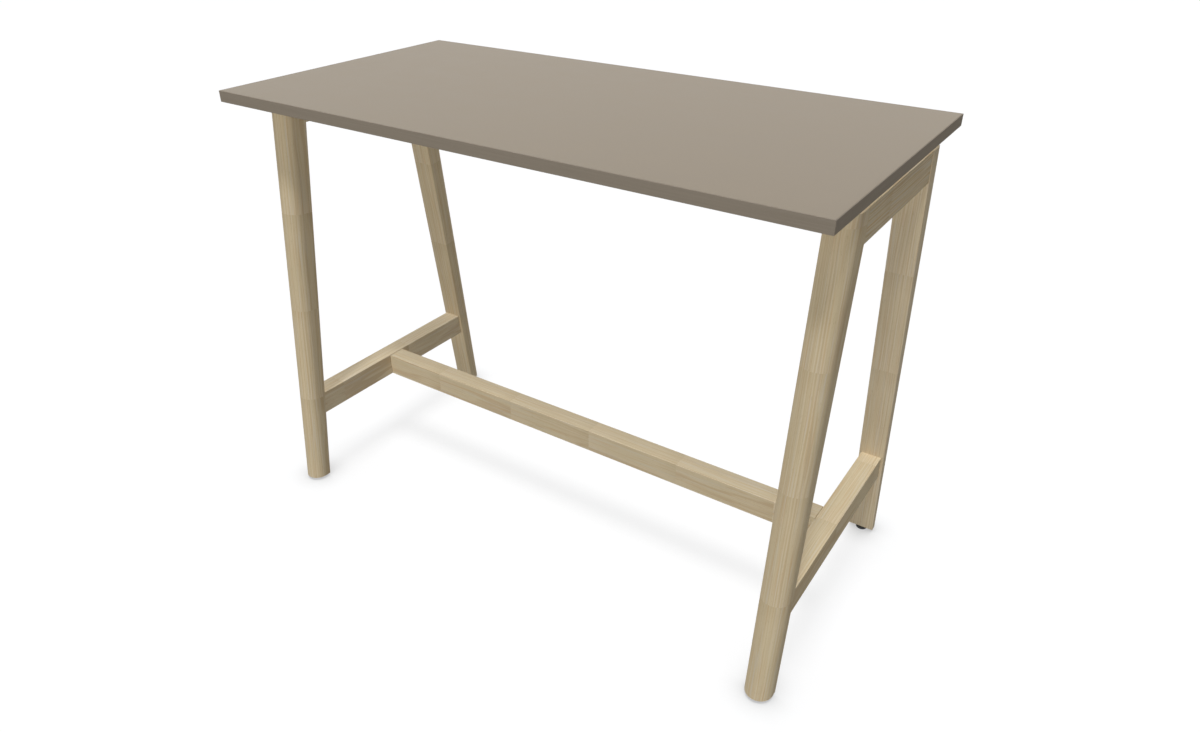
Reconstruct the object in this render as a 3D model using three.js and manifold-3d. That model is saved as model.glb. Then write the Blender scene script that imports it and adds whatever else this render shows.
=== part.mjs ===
// Standing meeting table: a faced board on two splayed timber end frames, tied by a footrest beam.
// Millimetres, Z up, X along the table. The origin is on the floor under the middle of the top.
import * as THREE from "three";
import { mergeVertices, toCreasedNormals } from "three/addons/utils/BufferGeometryUtils.js";
import Module from "manifold-3d";

const wasm = await Module();
wasm.setup();

// Overall size
const tableLength = 1400;
const tableWidth = 700;
const tableHeight = 1050;

// Top board and the band glued round its edge
const topThickness = 24;
const bandThickness = 2;
const bandArris = 0.6;
const topCorner = 1.5;
const glueLine = 0.2;

// Legs: a D section, flat towards the middle of the table, with a round nose outwards
const topOverhang = 3;
const frameGap = 8;
const legWidth = 60;
const legHeadDepth = 64;
const legFootDepth = 44;
const legSplay = 7;
const legHeadSpread = 350;

// Rails, stretchers and the footrest beam
const railThickness = 58;
const railHeight = 65;
const stretcherThickness = 48;
const stretcherHeight = 60;
const footrestHeight = 250;
const beamThickness = 48;
const beamStep = 1;
const timberArris = 1;
const jointGap = 0.3;

// Loose tenons between the legs and the rails and stretchers
const tenonThickness = 14;
const tenonShoulder = 14;
const railTenonReach = 28;
const stretcherTenonReach = 24;
const tenonFit = 0.3;

// Bolts that hold the top: up through the rails and spacers into inserts in the board
const topBoltSetback = 60;
const topBoltDiameter = 6;
const topBoltGrip = 40;
const boltHeadDiameter = 10;
const boltHeadHeight = 6;
const hexKeyAcross = 5;
const hexKeyDepth = 3;
const counterboreDiameter = 16;
const spacerDiameter = 32;
const topInsertWall = 2;
const topInsertCover = 8;
const boltFit = 0.3;

// Steel stiffeners under the top: a channel with a plate welded on each end
const stiffenerSpacing = 150;
const stiffenerWidth = 40;
const stiffenerDepth = 25;
const stiffenerSheet = 2;
const stiffenerPlate = 3;
const stiffenerPlateDrop = 42;
const stiffenerBend = 3;
const stiffenerScrewHole = 5.5;
const stiffenerScrewPitch = 400;
const plateScrewSpacing = 20;
const plateScrewEdge = 10;

// Fittings at the ends of the footrest beam
const beamBoltDiameter = 8;
const beamBoltReach = 32;
const beamBoltTail = 6;
const pocketDiameter = 26;
const pocketSetback = 45;
const pocketCover = 9;
const washerThickness = 7;
const washerHeight = 18;
const nutAcross = 13;
const nutThickness = 6.5;
const dowelDiameter = 8;
const dowelReach = 20;
const dowelSpacing = 28;
const dowelRise = 12;
const dowelChamfer = 1;

// Levelling gliders: a pad on the ball end of a screw stem, in an insert in the foot
const gliderInset = 9.5;
const padDiameter = 28;
const padHeight = 6.3;
const padRound = 1;
const padStopGap = 0.3;
const stemDiameter = 6;
const stemLength = 40;
const ballFloor = 1;
const ballCover = 0.3;
const ballUndercut = 0.8;
const ballFit = 0.2;
const gliderInsertLength = 22;
const gliderInsertWall = 1.6;
const gliderThreadGap = 0.15;
const insertFit = 0.2;

// Facets
const noseSteps = 24;
const arrisSteps = 3;
const turnedSteps = 24;
const smallSteps = 16;
const ballSteps = 5;

// Heights and places that follow from the sizes above
const footHeight = padHeight + padStopGap;
const boardUnderside = tableHeight - topThickness;
const legHead = boardUnderside - frameGap;
const rake = Math.tan(THREE.MathUtils.degToRad(legSplay));
const frameCentre = tableLength / 2 - topOverhang - legWidth / 2;
const railInner = frameCentre - railThickness / 2;
const stretcherInner = frameCentre - stretcherThickness / 2;
const railMiddle = legHead - railHeight / 2;
const stretcherMiddle = footrestHeight - stretcherHeight / 2;
const beamHeight = stretcherHeight - 2 * beamStep;
const beamEnd = stretcherInner - jointGap;
const topBoltPlace = legHeadSpread / 2 - topBoltSetback;
const gliderPlace = innerFace(footHeight) + gliderInset;
const ballRadius = (padHeight - ballFloor - ballCover) / 2;
const ballCentre = ballFloor + ballRadius;
const neckRadius = ballRadius - ballUndercut;
const stemTop = footHeight + stemLength;

// Distance of a leg's flat inner face from the middle of the table, at a height
function innerFace(z) {
  return legHeadSpread / 2 + (legHead - z) * rake;
}

// Depth of a leg from its flat face to the tip of its nose, at a height
function legDepth(z) {
  return THREE.MathUtils.mapLinear(z, footHeight, legHead, legFootDepth, legHeadDepth);
}

// Materials, each piece with its own
const finishes = {
  board: { color: 0xa69c8d, roughness: 0.5, metalness: 0 },
  band: { color: 0x9b9183, roughness: 0.45, metalness: 0 },
  timber: { color: 0xc5b593, roughness: 0.55, metalness: 0 },
  beech: { color: 0xc49a6c, roughness: 0.7, metalness: 0 },
  steel: { color: 0xb4b6b8, roughness: 0.35, metalness: 1 },
  paintedSteel: { color: 0x3a3a3b, roughness: 0.5, metalness: 0.3 },
  plastic: { color: 0x1c1d1e, roughness: 0.5, metalness: 0 },
};

// Outlines
function arc(x, y, radius, from, to, steps) {
  return new THREE.EllipseCurve(x, y, radius, radius, from, to, false, 0).getPoints(steps);
}

function roundedRectangle(width, height, radius) {
  const x = width / 2 - radius;
  const y = height / 2 - radius;
  const quarter = Math.PI / 2;
  return [
    ...arc(x, y, radius, 0, quarter, arrisSteps),
    ...arc(-x, y, radius, quarter, 2 * quarter, arrisSteps),
    ...arc(-x, -y, radius, 2 * quarter, 3 * quarter, arrisSteps),
    ...arc(x, -y, radius, 3 * quarter, 4 * quarter, arrisSteps),
  ];
}

function stadium(width, height) {
  const radius = width / 2;
  const y = height / 2 - radius;
  const steps = smallSteps / 2;
  return [...arc(0, y, radius, 0, Math.PI, steps), ...arc(0, -y, radius, Math.PI, 2 * Math.PI, steps)];
}

function hexagon(across) {
  return arc(0, 0, across / Math.sqrt(3), 0, 2 * Math.PI, 6).slice(0, 6);
}

// Flat of the D at y = 0, nose tip at y = depth, drawn in by an inset all round
function legOutline(depth, inset) {
  const half = legWidth / 2;
  const corner = half - timberArris;
  const round = timberArris - inset;
  const nose = depth - half;
  return [
    ...arc(corner, timberArris, round, -Math.PI / 2, 0, arrisSteps),
    ...arc(0, nose, half - inset, 0, Math.PI, noseSteps),
    ...arc(-corner, timberArris, round, Math.PI, 1.5 * Math.PI, arrisSteps),
  ];
}

// Solids from outlines
function prism(outline, length) {
  const shape = new THREE.Shape(outline);
  const geometry = new THREE.ExtrudeGeometry(shape, { depth: length, bevelEnabled: false });
  return geometry.translate(0, 0, -length / 2);
}

// Skin through rings of points that match the outline one to one, capped at both ends
function loft(outline, rings) {
  const count = outline.length;
  const last = (rings.length - 1) * count;
  const index = [];
  for (let start = 0; start < last; start += count) {
    for (let i = 0; i < count; i++) {
      const a = start + i;
      const b = start + ((i + 1) % count);
      index.push(a, b, b + count, a, b + count, a + count);
    }
  }
  for (const [a, b, c] of THREE.ShapeUtils.triangulateShape(outline, [])) {
    index.push(a, c, b, last + a, last + b, last + c);
  }
  const positions = rings.flat().flatMap((point) => point.toArray());
  const geometry = new THREE.BufferGeometry();
  geometry.setAttribute("position", new THREE.Float32BufferAttribute(positions, 3));
  geometry.setIndex(index);
  return geometry;
}

// Solid of revolution about Z from [radius, height] pairs that run up its outside
function turned(profile, steps) {
  const points = profile.map(([radius, height]) => new THREE.Vector2(radius, height));
  return new THREE.LatheGeometry(points, steps).rotateX(Math.PI / 2);
}

function sleeve(inner, outer, length, steps) {
  const profile = [
    [inner, 0],
    [outer, 0],
    [outer, length],
    [inner, length],
    [inner, 0],
  ];
  return turned(profile, steps);
}

function rod(radius, length, steps) {
  return new THREE.CylinderGeometry(radius, radius, length, steps).rotateX(Math.PI / 2);
}

// Joining and cutting
function solid(geometry) {
  const bare = geometry.clone();
  bare.deleteAttribute("normal");
  bare.deleteAttribute("uv");
  const merged = mergeVertices(bare);
  const vertProperties = merged.attributes.position.array;
  const triVerts = new Uint32Array(merged.index.array);
  return new wasm.Manifold(new wasm.Mesh({ numProp: 3, vertProperties, triVerts }));
}

function surface(body) {
  const mesh = body.getMesh();
  const geometry = new THREE.BufferGeometry();
  geometry.setAttribute("position", new THREE.BufferAttribute(mesh.vertProperties, 3));
  geometry.setIndex(new THREE.BufferAttribute(mesh.triVerts, 1));
  return geometry;
}

function cut(body, tools) {
  return surface(tools.reduce((rest, tool) => rest.subtract(solid(tool)), solid(body)));
}

function join(pieces) {
  return surface(pieces.map(solid).reduce((sum, piece) => sum.add(piece)));
}

function common(body, other) {
  return surface(solid(body).intersect(solid(other)));
}

// Named pieces
function piece(name, geometry, finish) {
  const creased = toCreasedNormals(geometry, Math.PI / 6);
  const mesh = new THREE.Mesh(creased, new THREE.MeshStandardMaterial(finishes[finish]));
  mesh.name = name;
  return mesh;
}

// Top: the whole slab is rounded first, then parted into the board and its four bands
function makeTop() {
  const group = new THREE.Group();
  const outline = roundedRectangle(tableLength, tableWidth, topCorner);
  const rounding = { bevelThickness: bandArris, bevelSize: bandArris, bevelOffset: -bandArris };
  const slab = new THREE.ExtrudeGeometry(new THREE.Shape(outline), {
    depth: topThickness - 2 * bandArris,
    bevelSegments: arrisSteps,
    ...rounding,
  }).translate(0, 0, boardUnderside + bandArris);

  const middle = boardUnderside + topThickness / 2;
  const coreLength = tableLength - 2 * bandThickness;
  const coreWidth = tableWidth - 2 * bandThickness;
  const boardLength = coreLength - 2 * glueLine;
  const boardWidth = coreWidth - 2 * glueLine;
  const core = new THREE.BoxGeometry(boardLength, boardWidth, topThickness).translate(0, 0, middle);
  const bores = [];
  for (const x of [-frameCentre, frameCentre]) {
    for (const y of [-topBoltPlace, topBoltPlace]) {
      bores.push(insertBore().translate(x, y, boardUnderside));
    }
  }
  group.add(piece("top_panel", cut(core, bores), "board"));

  const tall = topThickness * 2;
  for (const [name, side] of [["front", -1], ["back", 1]]) {
    const strip = new THREE.BoxGeometry(tableLength, bandThickness, tall);
    strip.translate(0, (side * (tableWidth - bandThickness)) / 2, middle);
    group.add(piece(`edge_band_${name}`, common(slab, strip), "band"));
  }
  for (const [name, side] of [["left", -1], ["right", 1]]) {
    const strip = new THREE.BoxGeometry(bandThickness, boardWidth, tall);
    strip.translate((side * (tableLength - bandThickness)) / 2, 0, middle);
    group.add(piece(`edge_band_${name}`, common(slab, strip), "band"));
  }
  return group;
}

// Blind bore for a threaded insert, up into the board from its underside
function insertBore() {
  const radius = topBoltDiameter / 2 + topInsertWall + insertFit;
  const depth = topThickness - topInsertCover;
  return rod(radius, 2 * depth, smallSteps);
}

// One leg at y > 0, with its mortises and the bore for its glider
function makeLeg() {
  const chamfer = timberArris / 2;
  const sections = [
    [footHeight, chamfer],
    [footHeight + chamfer, 0],
    [legHead - chamfer, 0],
    [legHead, chamfer],
  ];
  const rings = sections.map(([z, inset]) => {
    const outline = legOutline(legDepth(z), inset);
    return outline.map((point) => new THREE.Vector3(point.x, innerFace(z) + point.y, z));
  });
  const blank = loft(legOutline(legFootDepth, 0), rings);
  const mortises = [
    tenonSolid(railHeight, railTenonReach, tenonFit).translate(0, innerFace(railMiddle), railMiddle),
    tenonSolid(stretcherHeight, stretcherTenonReach, tenonFit).translate(
      0,
      innerFace(stretcherMiddle),
      stretcherMiddle,
    ),
  ];
  return cut(blank, [...mortises, gliderBore()]);
}

// Loose tenon along Y, swollen by a fit when it cuts its own mortise
function tenonSolid(memberHeight, reach, fit) {
  const height = memberHeight - 2 * tenonShoulder;
  const outline = stadium(tenonThickness + 2 * fit, height + 2 * fit);
  return prism(outline, 2 * (reach + fit)).rotateX(Math.PI / 2);
}

// Rail or stretcher across the table, its ends cut to the rake of the legs
function makeCrossPiece(thickness, height, middle, tenonReach, extraCuts) {
  const outline = roundedRectangle(height, thickness, timberArris);
  const rings = [-1, 1].map((side) =>
    outline.map((point) => {
      const z = middle + point.x;
      return new THREE.Vector3(point.y, side * (innerFace(z) - jointGap), z);
    }),
  );
  const mortises = [-1, 1].map((side) =>
    tenonSolid(height, tenonReach, tenonFit).translate(0, side * innerFace(middle), middle),
  );
  return cut(loft(outline, rings), [...mortises, ...extraCuts]);
}

function makeRail() {
  const depth = railHeight - topBoltGrip;
  const cuts = [];
  for (const y of [-topBoltPlace, topBoltPlace]) {
    const hole = rod(topBoltDiameter / 2 + boltFit, 2 * railHeight, smallSteps);
    const counterbore = rod(counterboreDiameter / 2, 2 * depth, turnedSteps);
    cuts.push(hole.translate(0, y, railMiddle));
    cuts.push(counterbore.translate(0, y, legHead - railHeight));
  }
  return makeCrossPiece(railThickness, railHeight, railMiddle, railTenonReach, cuts);
}

// The stretcher's inner face, at x < 0 here, has the holes for the beam's bolt and dowels
function makeStretcher() {
  const face = -stretcherThickness / 2;
  const boltHole = rod(beamBoltDiameter / 2 + boltFit, 2 * (beamBoltReach + boltFit), smallSteps);
  const cuts = [boltHole.rotateY(Math.PI / 2).translate(face, 0, stretcherMiddle)];
  for (const y of [-dowelSpacing / 2, dowelSpacing / 2]) {
    cuts.push(dowelHole().translate(face, y, stretcherMiddle + dowelRise));
  }
  return makeCrossPiece(stretcherThickness, stretcherHeight, stretcherMiddle, stretcherTenonReach, cuts);
}

function dowelHole() {
  return rod(dowelDiameter / 2 + tenonFit, 2 * (dowelReach + tenonFit), smallSteps).rotateY(Math.PI / 2);
}

// Footrest beam with eased ends, and a round pocket under each end for the half-moon washer and nut
function makeBeam() {
  const outline = roundedRectangle(beamThickness, beamHeight, timberArris);
  const endOutline = roundedRectangle(beamThickness - 2 * timberArris, beamHeight - 2 * timberArris, timberArris);
  const stations = [
    [-beamEnd, endOutline],
    [timberArris - beamEnd, outline],
    [beamEnd - timberArris, outline],
    [beamEnd, endOutline],
  ];
  const rings = stations.map(([x, shape]) =>
    shape.map((point) => new THREE.Vector3(x, point.x, stretcherMiddle + point.y)),
  );
  const cuts = [];
  for (const side of [-1, 1]) {
    const boltHole = rod(beamBoltDiameter / 2 + boltFit, 2 * pocketSetback, smallSteps);
    const pocketDepth = beamHeight / 2 + pocketCover;
    const pocket = rod(pocketDiameter / 2, 2 * pocketDepth, turnedSteps);
    cuts.push(boltHole.rotateY(Math.PI / 2).translate(side * beamEnd, 0, stretcherMiddle));
    cuts.push(pocket.translate(side * pocketCentre(), 0, stretcherMiddle - beamHeight / 2));
    for (const y of [-dowelSpacing / 2, dowelSpacing / 2]) {
      cuts.push(dowelHole().translate(side * beamEnd, y, stretcherMiddle + dowelRise));
    }
  }
  return cut(loft(endOutline, rings), cuts);
}

function pocketCentre() {
  return beamEnd - pocketSetback;
}

// Half-moon washer: the round side bears on the pocket's wall, the nut on its flat
function makeHalfMoon() {
  const radius = pocketDiameter / 2 - boltFit;
  const chord = pocketDiameter / 2 - washerThickness;
  const angle = Math.acos(chord / radius);
  const blank = prism(arc(0, 0, radius, -angle, angle, smallSteps), washerHeight);
  const hole = rod(beamBoltDiameter / 2 + boltFit, 2 * pocketDiameter, smallSteps).rotateY(Math.PI / 2);
  return cut(blank, [hole]);
}

function makeNut() {
  const blank = prism(hexagon(nutAcross), nutThickness);
  const hole = rod(beamBoltDiameter / 2 + boltFit, 2 * nutThickness, smallSteps);
  return cut(blank, [hole]).rotateY(Math.PI / 2);
}

// Hanger bolt along X, from inside the stretcher to just past the nut
function makeBeamBolt() {
  const radius = beamBoltDiameter / 2;
  const from = pocketCentre() - beamBoltTail;
  const length = stretcherInner + beamBoltReach - from;
  const profile = [
    [0, 0],
    [radius - dowelChamfer, 0],
    [radius, dowelChamfer],
    [radius, length - radius],
    [radius / 2, length],
    [0, length],
  ];
  return turned(profile, smallSteps).rotateY(Math.PI / 2).translate(from, 0, 0);
}

function makeDowel() {
  const radius = dowelDiameter / 2;
  const profile = [
    [0, -dowelReach],
    [radius - dowelChamfer, -dowelReach],
    [radius, dowelChamfer - dowelReach],
    [radius, dowelReach - dowelChamfer],
    [radius - dowelChamfer, dowelReach],
    [0, dowelReach],
  ];
  return turned(profile, smallSteps).rotateY(Math.PI / 2);
}

// Fittings of the top, drawn with z = 0 at the underside of the board
function makeSpacer() {
  const inner = topBoltDiameter / 2 + boltFit;
  const outer = spacerDiameter / 2;
  const arris = bandArris / 2;
  const low = glueLine - frameGap;
  const high = -glueLine;
  const profile = [
    [inner, low],
    [outer - arris, low],
    [outer, low + arris],
    [outer, high - arris],
    [outer - arris, high],
    [inner, high],
    [inner, low],
  ];
  return turned(profile, turnedSteps);
}

function makeTopInsert() {
  const inner = topBoltDiameter / 2 + boltFit;
  const outer = topBoltDiameter / 2 + topInsertWall;
  const length = topThickness - topInsertCover - 2 * insertFit;
  return sleeve(inner, outer, length, smallSteps).translate(0, 0, insertFit);
}

function makeTopBolt() {
  const radius = topBoltDiameter / 2;
  const headRadius = boltHeadDiameter / 2;
  const seat = -frameGap - topBoltGrip - glueLine;
  const foot = seat - boltHeadHeight;
  const tip = topThickness - topInsertCover - topInsertWall;
  const chamfer = radius / 3;
  const profile = [
    [0, foot],
    [headRadius, foot],
    [headRadius, seat],
    [radius, seat],
    [radius, tip - chamfer],
    [radius - chamfer, tip],
    [0, tip],
  ];
  const socket = prism(hexagon(hexKeyAcross), 2 * hexKeyDepth).translate(0, 0, foot);
  return cut(turned(profile, smallSteps), [socket]);
}

// Stiffener: a channel open downwards, with a plate across each end and holes for its screws
function makeStiffener() {
  const half = stiffenerWidth / 2;
  const top = boardUnderside - glueLine;
  const bottom = top - stiffenerDepth;
  const inside = half - stiffenerSheet;
  const bend = stiffenerBend - stiffenerSheet;
  const quarter = Math.PI / 2;
  const corner = half - stiffenerBend;
  const shoulder = top - stiffenerBend;
  const outline = [
    new THREE.Vector2(half, bottom),
    ...arc(corner, shoulder, stiffenerBend, 0, quarter, arrisSteps),
    ...arc(-corner, shoulder, stiffenerBend, quarter, 2 * quarter, arrisSteps),
    new THREE.Vector2(-half, bottom),
    new THREE.Vector2(-inside, bottom),
    ...arc(-corner, shoulder, bend, quarter, 2 * quarter, arrisSteps).reverse(),
    ...arc(corner, shoulder, bend, 0, quarter, arrisSteps).reverse(),
    new THREE.Vector2(inside, bottom),
  ];
  const end = railInner - jointGap;
  const rings = [-end, end].map((x) => outline.map((point) => new THREE.Vector3(x, point.x, point.y)));
  const plateFoot = legHead - stiffenerPlateDrop;
  const plates = [-1, 1].map((side) =>
    new THREE.BoxGeometry(stiffenerPlate, stiffenerWidth, top - plateFoot).translate(
      side * (end - stiffenerPlate / 2),
      0,
      (top + plateFoot) / 2,
    ),
  );
  const holes = [];
  for (const x of [-stiffenerScrewPitch, 0, stiffenerScrewPitch]) {
    holes.push(rod(stiffenerScrewHole / 2, 2 * stiffenerDepth, smallSteps).translate(x, 0, top));
  }
  for (const y of [-plateScrewSpacing / 2, plateScrewSpacing / 2]) {
    const hole = rod(stiffenerScrewHole / 2, 2 * tableLength, smallSteps).rotateY(Math.PI / 2);
    holes.push(hole.translate(0, y, plateFoot + plateScrewEdge));
  }
  return cut(join([loft(outline, rings), ...plates]), holes);
}

// Glider, with the pad screwed up to its stop. Its bore runs from the floor up into the foot.
function gliderBore() {
  const insertRadius = stemDiameter / 2 + gliderThreadGap + gliderInsertWall + insertFit;
  const stemRadius = stemDiameter / 2 + boltFit;
  const shoulder = footHeight + gliderInsertLength + 2 * insertFit;
  const ceiling = stemTop + boltFit;
  const profile = [
    [0, 0],
    [insertRadius, 0],
    [insertRadius, shoulder],
    [stemRadius, shoulder],
    [stemRadius, ceiling],
    [0, ceiling],
  ];
  return turned(profile, smallSteps).translate(0, gliderPlace, 0);
}

function makeGliderInsert() {
  const inner = stemDiameter / 2 + gliderThreadGap;
  const geometry = sleeve(inner, inner + gliderInsertWall, gliderInsertLength, smallSteps);
  return geometry.translate(0, 0, footHeight + insertFit);
}

// Quarter of a ball's outline, from its foot on the axis up to a mouth of the given radius
function ballArc(radius, mouth) {
  const from = -Math.PI / 2;
  const to = Math.acos(mouth / radius);
  return arc(0, ballCentre, radius, from, to, ballSteps).map((point) => [Math.max(point.x, 0), point.y]);
}

function makeStem() {
  const radius = stemDiameter / 2;
  const chamfer = radius / 4;
  const profile = [
    ...ballArc(ballRadius, neckRadius),
    [neckRadius, footHeight],
    [radius, footHeight],
    [radius, stemTop - chamfer],
    [radius - chamfer, stemTop],
    [0, stemTop],
  ];
  return turned(profile, smallSteps);
}

function makePad() {
  const radius = padDiameter / 2;
  const mouth = neckRadius + ballFit;
  const socket = ballArc(ballRadius + ballFit, mouth);
  const profile = [
    [0, 0],
    [radius - padRound, 0],
    [radius, padRound],
    [radius, padHeight - padRound],
    [radius - padRound, padHeight],
    [mouth, padHeight],
    ...socket.reverse(),
  ];
  return turned(profile, turnedSteps);
}

// One end frame. It is built as the right end; half a turn makes the left one.
function makeEndFrame(end) {
  const group = new THREE.Group();
  const turn = end === "left" ? Math.PI : 0;
  group.rotation.z = turn;
  group.position.x = end === "left" ? -frameCentre : frameCentre;
  group.add(piece(`top_rail_${end}`, makeRail(), "timber"));
  group.add(piece(`stretcher_${end}`, makeStretcher(), "timber"));

  for (const side of [-1, 1]) {
    const row = (side > 0) === (end === "right") ? "back" : "front";
    const corner = `${row}_${end}`;
    const half = new THREE.Group();
    half.rotation.z = side > 0 ? 0 : Math.PI;
    group.add(half);
    half.add(piece(`leg_${corner}`, makeLeg(), "timber"));

    const railTenon = piece(`rail_tenon_${corner}`, tenonSolid(railHeight, railTenonReach, 0), "beech");
    railTenon.position.set(0, innerFace(railMiddle), railMiddle);
    const lowTenon = tenonSolid(stretcherHeight, stretcherTenonReach, 0);
    const stretcherTenon = piece(`stretcher_tenon_${corner}`, lowTenon, "beech");
    stretcherTenon.position.set(0, innerFace(stretcherMiddle), stretcherMiddle);
    half.add(railTenon, stretcherTenon);

    const fixing = new THREE.Group();
    fixing.position.set(0, topBoltPlace, boardUnderside);
    fixing.add(piece(`top_spacer_${corner}`, makeSpacer(), "plastic"));
    fixing.add(piece(`top_bolt_${corner}`, makeTopBolt(), "steel"));
    fixing.add(piece(`top_insert_${corner}`, makeTopInsert(), "steel"));
    half.add(fixing);

    const glider = new THREE.Group();
    glider.position.set(0, gliderPlace, 0);
    glider.add(piece(`glider_insert_${corner}`, makeGliderInsert(), "steel"));
    glider.add(piece(`glider_stem_${corner}`, makeStem(), "steel"));
    glider.add(piece(`glider_pad_${corner}`, makePad(), "plastic"));
    half.add(glider);
  }
  return group;
}

// Footrest beam and its fittings. The left fittings are the right ones turned half round.
function makeFootrest() {
  const group = new THREE.Group();
  group.add(piece("footrest_beam", makeBeam(), "timber"));
  for (const end of ["left", "right"]) {
    const half = new THREE.Group();
    half.rotation.z = end === "left" ? Math.PI : 0;
    half.position.z = stretcherMiddle;
    group.add(half);
    const flat = pocketCentre() + pocketDiameter / 2 - washerThickness;
    const washer = piece(`beam_washer_${end}`, makeHalfMoon(), "steel");
    washer.position.x = pocketCentre();
    const nut = piece(`beam_nut_${end}`, makeNut(), "steel");
    nut.position.x = flat - boltFit - nutThickness / 2;
    half.add(piece(`beam_bolt_${end}`, makeBeamBolt(), "steel"), washer, nut);
    for (const side of [-1, 1]) {
      const row = (side > 0) === (end === "right") ? "back" : "front";
      const dowel = piece(`beam_dowel_${row}_${end}`, makeDowel(), "beech");
      dowel.position.set(stretcherInner - jointGap / 2, (side * dowelSpacing) / 2, dowelRise);
      half.add(dowel);
    }
  }
  return group;
}

function makeStiffeners() {
  const group = new THREE.Group();
  for (const [row, side] of [["front", -1], ["back", 1]]) {
    const stiffener = piece(`top_stiffener_${row}`, makeStiffener(), "paintedSteel");
    stiffener.position.y = (side * stiffenerSpacing) / 2;
    group.add(stiffener);
  }
  return group;
}

const table = new THREE.Group();
table.add(makeTop());
table.add(makeEndFrame("left"), makeEndFrame("right"));
table.add(makeFootrest());
table.add(makeStiffeners());

export default table;
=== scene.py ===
import bpy
import bmesh
import math
from mathutils import Matrix, Vector


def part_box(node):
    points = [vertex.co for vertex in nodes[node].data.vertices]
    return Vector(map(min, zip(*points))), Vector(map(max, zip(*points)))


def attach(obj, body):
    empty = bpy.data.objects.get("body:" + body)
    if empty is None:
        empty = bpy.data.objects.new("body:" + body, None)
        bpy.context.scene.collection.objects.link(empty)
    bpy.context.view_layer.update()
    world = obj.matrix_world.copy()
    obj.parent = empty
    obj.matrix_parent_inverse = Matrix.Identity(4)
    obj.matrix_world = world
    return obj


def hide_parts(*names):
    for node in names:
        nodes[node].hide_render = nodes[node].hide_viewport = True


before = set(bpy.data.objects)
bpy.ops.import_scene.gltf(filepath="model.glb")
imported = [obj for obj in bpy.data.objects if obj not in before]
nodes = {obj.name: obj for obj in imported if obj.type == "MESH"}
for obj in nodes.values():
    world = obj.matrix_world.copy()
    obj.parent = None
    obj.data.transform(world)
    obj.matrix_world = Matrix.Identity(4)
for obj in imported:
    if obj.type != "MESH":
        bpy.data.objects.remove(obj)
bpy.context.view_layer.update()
print("frame loaded:", len(nodes), "nodes")


# Colours are written as sRGB hex and turned to linear here
def linear(code):
    parts = [int(code[i:i + 2], 16) / 255 for i in (0, 2, 4)]
    return [p / 12.92 if p <= 0.04045 else ((p + 0.055) / 1.055) ** 2.4 for p in parts] + [1]


# Adds a node: settings go to its properties or sockets, links join sockets, stops fill a colour ramp
def add(tree, kind, settings=None, links=None, stops=None):
    node = tree.nodes.new(kind)
    for name, value in (settings or {}).items():
        if isinstance(name, int) or name in node.inputs:
            node.inputs[name].default_value = value
        else:
            setattr(node, name, value)
    for name, socket in (links or {}).items():
        tree.links.new(socket, node.inputs[name])
    if stops:
        elements = node.color_ramp.elements
        while len(elements) < len(stops):
            elements.new(1)
        for element, (place, colour) in zip(elements, stops):
            element.position = place
            element.color = linear(colour)
    return node


def newMaterial(name):
    material = bpy.data.materials.new(name)
    material.use_nodes = True
    material.node_tree.nodes.clear()
    return material, material.node_tree


# Ends a material: its shader goes to the output
def finishMaterial(tree, shader):
    add(tree, "ShaderNodeOutputMaterial", links={"Surface": shader.outputs[0]})


def dress(names, material):
    for name in names:
        mesh = nodes[name].data
        mesh.materials.clear()
        mesh.materials.append(material)


# Pressed melamine on particle board: a matt film with the fine pearl of the press plate, which
# breaks up reflections and leaves the colour nearly flat
melamine = {
    "colour": "948877", "shade": "918574",
    "pearlMm": 1.1, "pearlShare": 0.5, "cloudMm": 70,
    "roughness": (0.35, 0.45), "ior": 1.5, "specular": 0.08, "bumpMm": 0.03,
}


def makeMelamine():
    material, tree = newMaterial("pressedMelamine")
    coord = add(tree, "ShaderNodeTexCoord")
    cloud = add(tree, "ShaderNodeTexNoise", {"Scale": 1000 / melamine["cloudMm"], "Detail": 2},
                {"Vector": coord.outputs["Object"]})
    pearl = add(tree, "ShaderNodeTexNoise", {"Scale": 1000 / melamine["pearlMm"], "Detail": 1},
                {"Vector": coord.outputs["Object"]})
    mixed = add(tree, "ShaderNodeMath", {"operation": "MULTIPLY_ADD", 1: melamine["pearlShare"]},
                {0: pearl.outputs["Fac"], 2: cloud.outputs["Fac"]})
    tone = add(tree, "ShaderNodeValToRGB", links={"Fac": mixed.outputs[0]},
               stops=[(0.45, melamine["shade"]), (1, melamine["colour"])])
    gloss = add(tree, "ShaderNodeMapRange",
                {"To Min": melamine["roughness"][0], "To Max": melamine["roughness"][1]},
                {"Value": cloud.outputs["Fac"]})
    bump = add(tree, "ShaderNodeBump", {"Strength": 0.5, "Distance": melamine["bumpMm"] / 1000},
               {"Height": pearl.outputs["Fac"]})
    shader = add(tree, "ShaderNodeBsdfPrincipled",
                 {"IOR": melamine["ior"], "Specular IOR Level": melamine["specular"]},
                 {"Base Color": tone.outputs["Color"], "Roughness": gloss.outputs[0],
                  "Normal": bump.outputs[0]})
    finishMaterial(tree, shader)
    return material


dress(["top_panel"], makeMelamine())

# Extruded ABS edge band, trimmed flush: a plain satin skin with faint lines along its length
bandAbs = {
    "colour": "8e8476", "line": "8a8072", "lineMm": 2.5, "runMm": 180,
    "roughness": (0.64, 0.76), "ior": 1.52, "specular": 0.02, "bumpMm": 0.02,
}


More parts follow.
